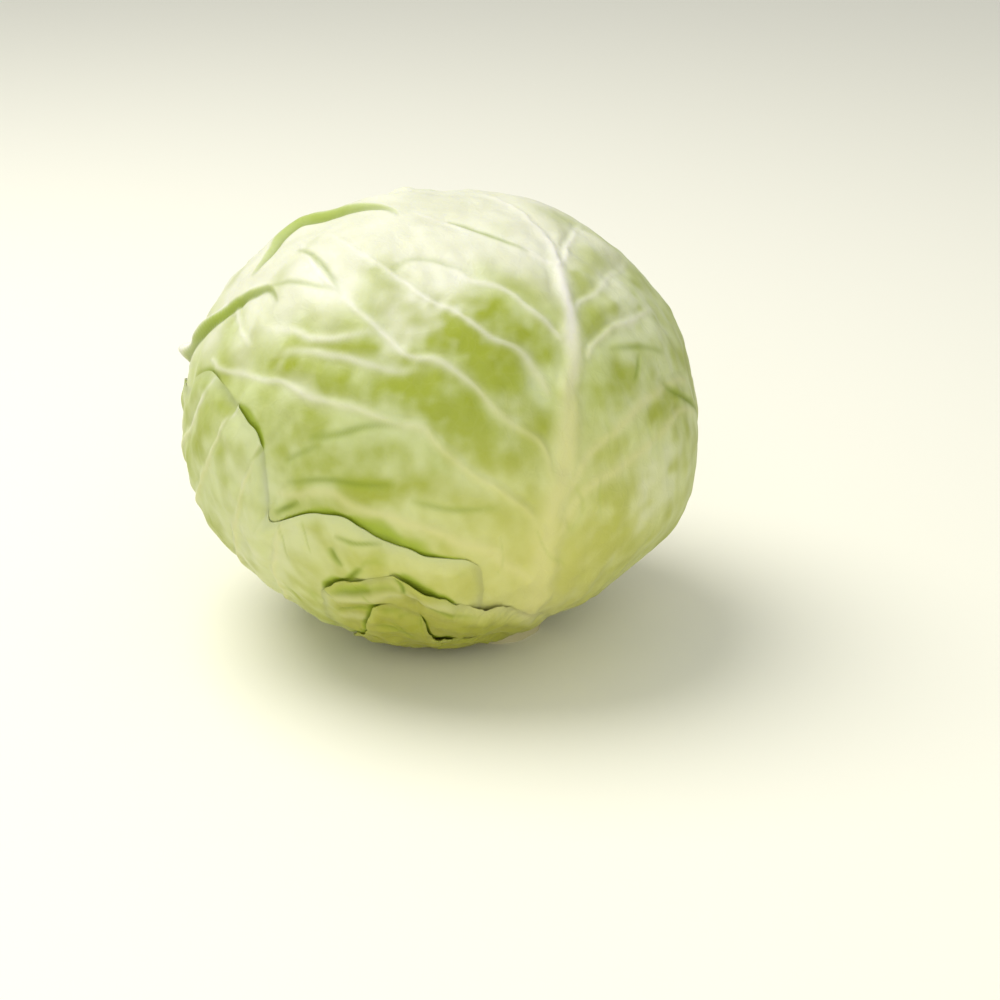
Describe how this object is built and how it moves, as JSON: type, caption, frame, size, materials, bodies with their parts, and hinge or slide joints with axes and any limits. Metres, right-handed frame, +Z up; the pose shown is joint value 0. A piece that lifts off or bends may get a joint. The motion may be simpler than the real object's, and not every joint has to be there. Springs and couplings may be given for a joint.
{
  "type": "cabbage head",
  "caption": "Round head of white cabbage: large veined wrapper leaves folded over packed inner leaves and a heart, resting on the flat spot round its cut stump.",
  "frame": {"origin": "on the surface that the head rests on, under the middle of its box", "axes": "+Z up through the crown, -Y toward the midrib of the large front leaf, +X to that leaf's right"},
  "size_m": [0.1716, 0.1614, 0.1445],
  "materials": {
    "stump": "matte cut fibre, drying at the rim",
    "inner_leaf": "satin, pale cream to yellow-green",
    "wrapper_leaf": "satin waxy leaf, yellow-green with whitish ribs and veins",
    "torn_leaf": "satin leaf with ragged torn edges, olive green"
  },
  "bodies": {
    "root": {"stump": "stump", "heart": "inner_leaf", "inner_leaf_1": "inner_leaf", "inner_leaf_2": "inner_leaf", "inner_leaf_3": "inner_leaf", "inner_leaf_4": "inner_leaf", "inner_leaf_5": "inner_leaf", "inner_leaf_6": "inner_leaf", "inner_leaf_7": "inner_leaf", "inner_leaf_8": "inner_leaf", "inner_leaf_9": "inner_leaf", "inner_leaf_10": "inner_leaf", "inner_leaf_11": "inner_leaf", "inner_leaf_12": "inner_leaf", "wrapper_leaf_back": "wrapper_leaf", "wrapper_leaf_left": "wrapper_leaf", "wrapper_leaf_right": "wrapper_leaf", "wrapper_leaf_front": "wrapper_leaf", "wrapper_leaf_back_left": "wrapper_leaf", "wrapper_leaf_right_back": "wrapper_leaf", "wrapper_leaf_lower_left": "wrapper_leaf", "torn_leaf_base_back": "torn_leaf", "torn_leaf_base_front": "torn_leaf", "torn_leaf_base_left": "torn_leaf"}
  },
  "joints": []
}
